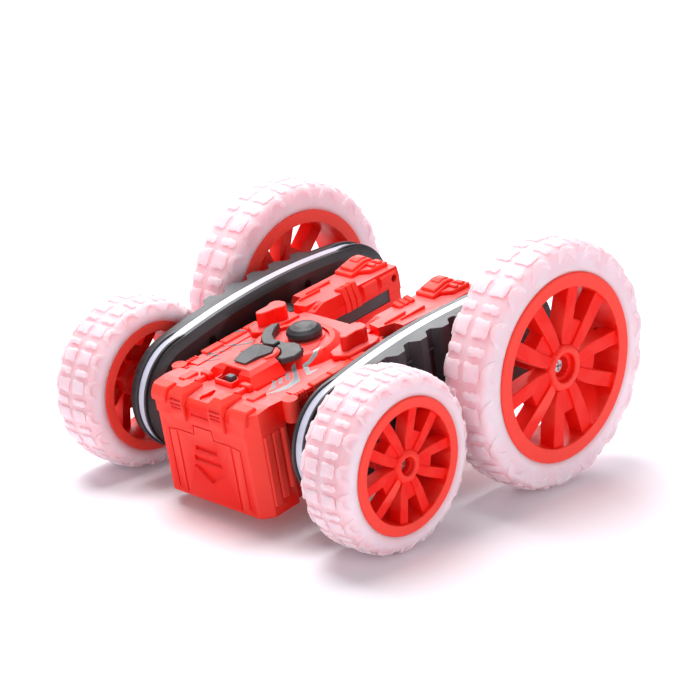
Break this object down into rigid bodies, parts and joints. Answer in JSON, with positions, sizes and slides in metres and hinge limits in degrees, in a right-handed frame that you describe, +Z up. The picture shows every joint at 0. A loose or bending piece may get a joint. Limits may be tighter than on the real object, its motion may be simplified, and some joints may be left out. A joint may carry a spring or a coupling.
{
  "type": "rc stunt car",
  "caption": "Radio-controlled stunt car: hollow body between two freely swinging light-up arms, each with a geared small front wheel and large rear wheel.",
  "frame": {"origin": "centre of the footprint, on the ground under the tyres", "axes": "+X to the car's left, +Y to the car's rear, +Z up; the front faces -Y"},
  "size_m": [0.179, 0.187, 0.108],
  "materials": {
    "red_plastic": "moulded, soft gloss",
    "black_plastic": "moulded, satin",
    "milky_tyre": "translucent, satin",
    "clear_strip": "clear, frosted inside",
    "circuit_board": "satin",
    "battery_wrap": "shrink film, satin",
    "motor_steel": "satin",
    "screw_steel": "zinc plated",
    "black_screw": "black oxide",
    "gear_nylon": "natural nylon"
  },
  "bodies": {
    "chassis": {"upper_shell": "red_plastic", "lower_shell": "red_plastic", "front_clips": "red_plastic", "hood_scoop": "black_plastic", "driver_collar": "black_plastic", "driver_helmet": "black_plastic", "switch_housing": "black_plastic", "tail_inlays": "black_plastic", "battery_pack": "battery_wrap", "battery_door": "red_plastic", "control_board": "circuit_board", "case_screws": "screw_steel"},
    "switch": {"switch_knob": "black_plastic"},
    "left_arm": {"left_arm_inner_shell": "black_plastic", "left_arm_outer_cover": "black_plastic", "left_light_strip": "clear_strip", "left_led_strip": "circuit_board", "left_drive_motor": "motor_steel", "left_gear_pins": "motor_steel", "left_arm_screws": "black_screw", "left_pivot_ring": "gear_nylon"},
    "left_rear_wheel": {"left_rear_axle": "motor_steel", "left_rear_wheel_gear": "gear_nylon", "left_rear_rim": "red_plastic", "left_rear_tyre": "milky_tyre", "left_rear_wheel_screw": "screw_steel"},
    "left_front_wheel": {"left_front_axle": "motor_steel", "left_front_wheel_gear": "gear_nylon", "left_front_rim": "red_plastic", "left_front_tyre": "milky_tyre", "left_front_wheel_screw": "screw_steel"},
    "left_front_idler": {"left_front_idler_gear": "gear_nylon"},
    "left_rear_idler": {"left_rear_idler_gear": "gear_nylon"},
    "left_front_reduction": {"left_front_reduction_gear": "gear_nylon"},
    "left_rear_reduction": {"left_rear_reduction_gear": "gear_nylon"},
    "left_pinion": {"left_motor_pinion": "gear_nylon"},
    "right_arm": {"right_arm_inner_shell": "black_plastic", "right_arm_outer_cover": "black_plastic", "right_light_strip": "clear_strip", "right_led_strip": "circuit_board", "right_drive_motor": "motor_steel", "right_gear_pins": "motor_steel", "right_arm_screws": "black_screw", "right_pivot_ring": "gear_nylon"},
    "right_rear_wheel": {"right_rear_axle": "motor_steel", "right_rear_wheel_gear": "gear_nylon", "right_rear_rim": "red_plastic", "right_rear_tyre": "milky_tyre", "right_rear_wheel_screw": "screw_steel"},
    "right_front_wheel": {"right_front_axle": "motor_steel", "right_front_wheel_gear": "gear_nylon", "right_front_rim": "red_plastic", "right_front_tyre": "milky_tyre", "right_front_wheel_screw": "screw_steel"},
    "right_front_idler": {"right_front_idler_gear": "gear_nylon"},
    "right_rear_idler": {"right_rear_idler_gear": "gear_nylon"},
    "right_front_reduction": {"right_front_reduction_gear": "gear_nylon"},
    "right_rear_reduction": {"right_rear_reduction_gear": "gear_nylon"},
    "right_pinion": {"right_motor_pinion": "gear_nylon"}
  },
  "joints": [
    {"name": "power_switch_slide", "type": "slide", "parent": "chassis", "child": "switch", "axis": [-1, 0, 0], "range_m": [0, 0.0038]},
    {"name": "left_arm_swing", "type": "hinge", "parent": "chassis", "child": "left_arm", "pos_m": [0.034, -0.00208, 0.047], "axis": [1, 0, 0], "continuous": true},
    {"name": "left_rear_wheel_spin", "type": "hinge", "parent": "left_arm", "child": "left_rear_wheel", "pos_m": [0.075, 0.0395, 0.054], "axis": [1, 0, 0], "continuous": true},
    {"name": "left_front_wheel_spin", "type": "hinge", "parent": "left_arm", "child": "left_front_wheel", "pos_m": [0.075, -0.0555, 0.038], "axis": [1, 0, 0], "continuous": true},
    {"name": "left_front_idler_spin", "type": "hinge", "parent": "left_arm", "child": "left_front_idler", "pos_m": [0.049, -0.0316, 0.04498], "axis": [1, 0, 0], "continuous": true},
    {"name": "left_rear_idler_spin", "type": "hinge", "parent": "left_arm", "child": "left_rear_idler", "pos_m": [0.049, 0.01824, 0.05268], "axis": [1, 0, 0], "continuous": true},
    {"name": "left_front_reduction_spin", "type": "hinge", "parent": "left_arm", "child": "left_front_reduction", "pos_m": [0.049, -0.0151, 0.0448], "axis": [1, 0, 0], "continuous": true},
    {"name": "left_rear_reduction_spin", "type": "hinge", "parent": "left_arm", "child": "left_rear_reduction", "pos_m": [0.049, 0.01093, 0.04919], "axis": [1, 0, 0], "continuous": true},
    {"name": "left_pinion_spin", "type": "hinge", "parent": "left_arm", "child": "left_pinion", "pos_m": [0.049, -0.00208, 0.047], "axis": [1, 0, 0], "continuous": true},
    {"name": "right_arm_swing", "type": "hinge", "parent": "chassis", "child": "right_arm", "pos_m": [-0.034, -0.00208, 0.047], "axis": [1, 0, 0], "continuous": true},
    {"name": "right_rear_wheel_spin", "type": "hinge", "parent": "right_arm", "child": "right_rear_wheel", "pos_m": [-0.075, 0.0395, 0.054], "axis": [1, 0, 0], "continuous": true},
    {"name": "right_front_wheel_spin", "type": "hinge", "parent": "right_arm", "child": "right_front_wheel", "pos_m": [-0.075, -0.0555, 0.038], "axis": [1, 0, 0], "continuous": true},
    {"name": "right_front_idler_spin", "type": "hinge", "parent": "right_arm", "child": "right_front_idler", "pos_m": [-0.049, -0.0316, 0.04498], "axis": [1, 0, 0], "continuous": true},
    {"name": "right_rear_idler_spin", "type": "hinge", "parent": "right_arm", "child": "right_rear_idler", "pos_m": [-0.049, 0.01824, 0.05268], "axis": [1, 0, 0], "continuous": true},
    {"name": "right_front_reduction_spin", "type": "hinge", "parent": "right_arm", "child": "right_front_reduction", "pos_m": [-0.049, -0.0151, 0.0448], "axis": [1, 0, 0], "continuous": true},
    {"name": "right_rear_reduction_spin", "type": "hinge", "parent": "right_arm", "child": "right_rear_reduction", "pos_m": [-0.049, 0.01093, 0.04919], "axis": [1, 0, 0], "continuous": true},
    {"name": "right_pinion_spin", "type": "hinge", "parent": "right_arm", "child": "right_pinion", "pos_m": [-0.049, -0.00208, 0.047], "axis": [1, 0, 0], "continuous": true}
  ],
  "couplings": [
    {"joint": "left_front_wheel_spin", "follows": "left_rear_wheel_spin", "ratio": 1.4211},
    {"joint": "left_front_idler_spin", "follows": "left_rear_wheel_spin", "ratio": -1.2},
    {"joint": "left_rear_idler_spin", "follows": "left_rear_wheel_spin", "ratio": -3.1765},
    {"joint": "left_front_reduction_spin", "follows": "left_rear_wheel_spin", "ratio": 5.4},
    {"joint": "left_rear_reduction_spin", "follows": "left_rear_wheel_spin", "ratio": 5.4},
    {"joint": "left_pinion_spin", "follows": "left_rear_wheel_spin", "ratio": -24.3},
    {"joint": "right_front_wheel_spin", "follows": "right_rear_wheel_spin", "ratio": 1.4211},
    {"joint": "right_front_idler_spin", "follows": "right_rear_wheel_spin", "ratio": -1.2},
    {"joint": "right_rear_idler_spin", "follows": "right_rear_wheel_spin", "ratio": -3.1765},
    {"joint": "right_front_reduction_spin", "follows": "right_rear_wheel_spin", "ratio": 5.4},
    {"joint": "right_rear_reduction_spin", "follows": "right_rear_wheel_spin", "ratio": 5.4},
    {"joint": "right_pinion_spin", "follows": "right_rear_wheel_spin", "ratio": -24.3}
  ]
}
